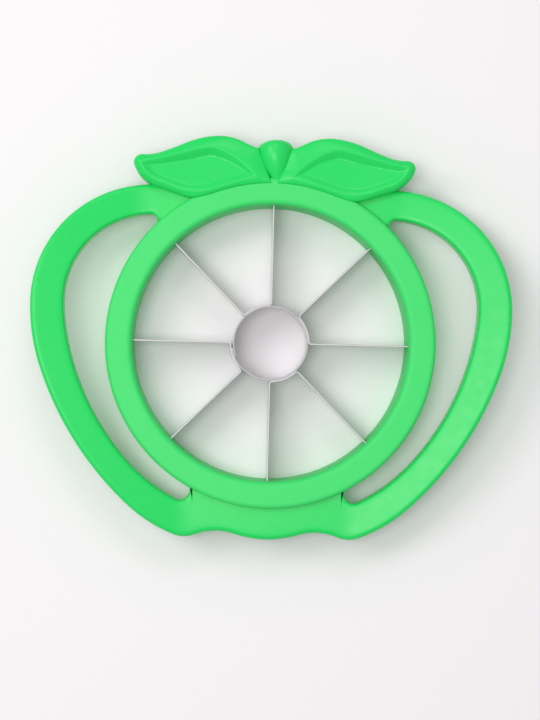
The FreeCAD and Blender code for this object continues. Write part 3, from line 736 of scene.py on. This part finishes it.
def rolling_lines():
    """Node group: level lines a few hundredths of a millimetre apart, and a cloudy polish.

    The top edge, where the surface faces up, is as the shears left it: darker and rough.
    """
    group = bpy.data.node_groups.new("rolling_lines", "ShaderNodeTree")
    for title, kind in (("Shade", "Color"), ("Sheared", "Color"), ("Streak", "Float")):
        group.interface.new_socket(title, in_out="INPUT", socket_type="NodeSocket" + kind)
    for title, kind in (("Color", "Color"), ("Roughness", "Float"), ("Normal", "Vector")):
        group.interface.new_socket(title, in_out="OUTPUT", socket_type="NodeSocket" + kind)
    nodes, links = group.nodes, group.links
    given, out = nodes.new("NodeGroupInput"), nodes.new("NodeGroupOutput")
    place = nodes.new("ShaderNodeTexCoord")
    stretch = nodes.new("ShaderNodeMapping")
    stretch.inputs["Scale"].default_value = (60, 60, 9000)
    links.new(place.outputs["Object"], stretch.inputs["Vector"])
    lines = nodes.new("ShaderNodeTexNoise")
    lines.inputs["Scale"].default_value = 1.0
    lines.inputs["Detail"].default_value = 3
    links.new(stretch.outputs["Vector"], lines.inputs["Vector"])
    cloud = nodes.new("ShaderNodeTexNoise")
    cloud.inputs["Scale"].default_value = 120
    links.new(place.outputs["Object"], cloud.inputs["Vector"])
    polish = nodes.new("ShaderNodeMapRange")
    polish.inputs["To Min"].default_value = 0.22
    polish.inputs["To Max"].default_value = 0.38
    links.new(cloud.outputs["Fac"], polish.inputs["Value"])
    faces_up = nodes.new("ShaderNodeSeparateXYZ")
    links.new(place.outputs["Normal"], faces_up.inputs["Vector"])
    on_edge = nodes.new("ShaderNodeMapRange")
    on_edge.inputs["From Min"].default_value = 0.5
    on_edge.inputs["From Max"].default_value = 0.8
    links.new(faces_up.outputs["Z"], on_edge.inputs["Value"])
    roughness = nodes.new("ShaderNodeMix")
    roughness.inputs["B"].default_value = 0.65
    links.new(on_edge.outputs["Result"], roughness.inputs["Factor"])
    links.new(polish.outputs["Result"], roughness.inputs["A"])
    edge_shade = nodes.new("ShaderNodeMix")
    edge_shade.data_type = "RGBA"
    links.new(on_edge.outputs["Result"], edge_shade.inputs["Factor"])
    links.new(given.outputs["Sheared"], edge_shade.inputs["B"])
    shade = nodes.new("ShaderNodeMix")
    shade.data_type = "RGBA"
    shade.blend_type = "MULTIPLY"
    shade.inputs["Factor"].default_value = 0.12
    links.new(given.outputs["Shade"], shade.inputs["A"])
    links.new(lines.outputs["Fac"], shade.inputs["B"])
    bump = nodes.new("ShaderNodeBump")
    bump.inputs["Distance"].default_value = 0.000004
    links.new(given.outputs["Streak"], bump.inputs["Strength"])
    links.new(lines.outputs["Fac"], bump.inputs["Height"])
    links.new(shade.outputs["Result"], edge_shade.inputs["A"])
    links.new(edge_shade.outputs["Result"], out.inputs["Color"])
    links.new(roughness.outputs["Result"], out.inputs["Roughness"])
    links.new(bump.outputs["Normal"], out.inputs["Normal"])
    return group


core_steel = brushed_steel("core_steel", (0.80, 0.79, 0.80), (0.50, 0.49, 0.50), 0.5)
core_ring = piece("core_tube", [strip_shell(core_line())])
core_ring.data.materials.append(core_steel)
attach(core_ring, "root")
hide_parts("core_ring")

# ---------------------------------------------------------------- blades
# Four strips of the same steel. Each comes in from a tab behind the ring's inner wall, bends
# round an eighth of the core ring, where it is spot welded, and goes out again to another tab.
BLADES = {"blade_upper_right": 0, "blade_upper_left": 90, "blade_lower_left": 180, "blade_lower_right": 270}
WRAP_BEND, TAB_BEND, TAB_LENGTH, TAB_GAP = 0.6, 0.4, 5.0, 0.15
# The notch's end is upright: it rises between two points a thousandth of a millimetre apart.
NOTCH_GAP, NOTCH_STEP = 0.2, 0.001
WEDGE = 360 / WEDGES


def blade_line(wrap_radius):
    """Middle line of a blade whose legs lie along the two sides of the first wedge.

    Each bend's centre lies off its leg by the bend's radius, at the distance from the axis that
    makes it touch the wrap or the tab. The way out is the way in, mirrored in the wedge.
    """
    half = STRIP / 2
    wrap_bend, tab_bend = WRAP_BEND + half, TAB_BEND + half
    tab_radius = CHANNEL_INNER + TAB_GAP + half
    wrap_x = np.sqrt((wrap_radius + wrap_bend) ** 2 - wrap_bend**2)
    tab_x = np.sqrt((tab_radius - tab_bend) ** 2 - tab_bend**2)
    wrap_start = np.degrees(np.arctan2(wrap_bend, wrap_x))
    tab_start = np.degrees(np.arctan2(tab_bend, tab_x))
    tab_end = tab_start + np.degrees(TAB_LENGTH / tab_radius)
    notch = RING_INNER - NOTCH_GAP
    inside = np.linspace((notch, 0), (wrap_x, 0), 12)
    leg = np.vstack([[(tab_x, 0)], [(notch + NOTCH_STEP, 0)], inside])
    way_in = np.vstack(
        [
            circle(tab_radius, tab_end, tab_start, 8),
            rounding((tab_x, tab_bend), tab_bend, tab_start, -90, 8)[1:-1],
            leg[:-1],
            rounding((wrap_x, wrap_bend), wrap_bend, -90, wrap_start - 180, 8),
        ]
    )
    wrap = circle(wrap_radius, wrap_start, WEDGE - wrap_start, 24)[1:-1]
    turn = np.radians(WEDGE)
    image = way_in @ np.array([[np.cos(turn), np.sin(turn)], [np.sin(turn), -np.cos(turn)]])
    return np.vstack([way_in, wrap, image[::-1]])


def turned_about_axis(line, degrees):
    """A line of points turned about the axis: (x cos a - y sin a, x sin a + y cos a)."""
    angle = np.radians(degrees)
    return line @ np.array([[np.cos(angle), np.sin(angle)], [-np.sin(angle), np.cos(angle)]])


blade_steel = brushed_steel("blade_steel", (0.82, 0.81, 0.82), (0.62, 0.60, 0.61), 0.5)
for name, start in BLADES.items():
    over_lap = start <= SEAM_ANGLE < start + WEDGE
    wrapped = lap_outer if over_lap else core_outer
    line = turned_about_axis(blade_line(wrapped + STRIP / 2), start)
    beyond = np.linalg.norm(line, axis=1) > RING_INNER - NOTCH_GAP + NOTCH_STEP / 2
    raised = np.where(beyond, BASE_HEIGHT, EDGE_FOOT)
    strip = piece(name + "_strip", [strip_shell(line, raised)], edges_apart=1e-5)
    strip.data.materials.append(blade_steel)
    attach(strip, "root")
    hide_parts(name)

# ---------------------------------------------------------------- floor, light and camera
# The slicer lies on a plain pale table, of one colour all over, under four soft boxes, and is
# seen from above. Places here are in metres, lamp powers in watts and the lens in millimetres.
TABLE_SHADE, TABLE_HALF, ROOM_LIGHT = (0.88, 0.85, 0.87), 3.0, 0.46

floor_corners = [(x * TABLE_HALF, y * TABLE_HALF, 0) for x, y in ((-1, -1), (1, -1), (1, 1), (-1, 1))]
floor_mesh = bpy.data.meshes.new("floor")
floor_mesh.from_pydata(floor_corners, [], [(0, 1, 2, 3)])
floor = bpy.data.objects.new("floor", floor_mesh)
bpy.context.scene.collection.objects.link(floor)
table = bpy.data.materials.new("table")
table.use_nodes = True
table_shader = table.node_tree.nodes["Principled BSDF"]
table_shader.inputs["Base Color"].default_value = (*TABLE_SHADE, 1)
table_shader.inputs["Roughness"].default_value = 0.9
table_shader.inputs["Specular IOR Level"].default_value = 0.1
floor_mesh.materials.append(table)

world = bpy.data.worlds.new("studio")
bpy.context.scene.world = world
world.use_nodes = True
sky = world.node_tree.nodes["Background"]
sky.inputs["Color"].default_value = (1, 1, 1, 1)
sky.inputs["Strength"].default_value = ROOM_LIGHT


def soft_box(name, place, aim, width, power):
    """A square lamp at place, turned to face aim."""
    lamp = bpy.data.lights.new(name, "AREA")
    lamp.size = width
    lamp.energy = power
    holder = bpy.data.objects.new(name, lamp)
    holder.location = place
    holder.rotation_euler = (Vector(aim) - Vector(place)).to_track_quat("-Z", "Y").to_euler()
    bpy.context.scene.collection.objects.link(holder)


soft_box("window_box", (-0.62, 0.30, 0.90), (0, 0, 0), 0.45, 3.45)
soft_box("left_box", (-0.26, -0.04, 1.05), (0, 0, 0), 0.3, 2.4)
soft_box("overhead_box", (-0.03, -0.03, 1.05), (0, 0, 0), 0.34, 1.45)
soft_box("back_box", (0.05, 0.62, 0.85), (0, 0, 0), 0.35, 1.2)

CAMERA_PLACE, AIM, FOCAL, TURN = (-0.015, -0.0056, 0.70), (-0.0001, -0.0056, 0.020), 102.2, np.radians(1.4)
lens = bpy.data.cameras.new("camera")
lens.sensor_width = 36
lens.lens = FOCAL
camera = bpy.data.objects.new("camera", lens)
bpy.context.scene.collection.objects.link(camera)
away = (Vector(CAMERA_PLACE) - Vector(AIM)).normalized()
up = Vector((-np.sin(TURN), np.cos(TURN), 0))
right = up.cross(away).normalized()
up = away.cross(right)
camera.matrix_world = Matrix.Translation(CAMERA_PLACE) @ Matrix((right, up, away)).transposed().to_4x4()
bpy.context.scene.camera = camera
bpy.context.scene.view_settings.view_transform = "Standard"
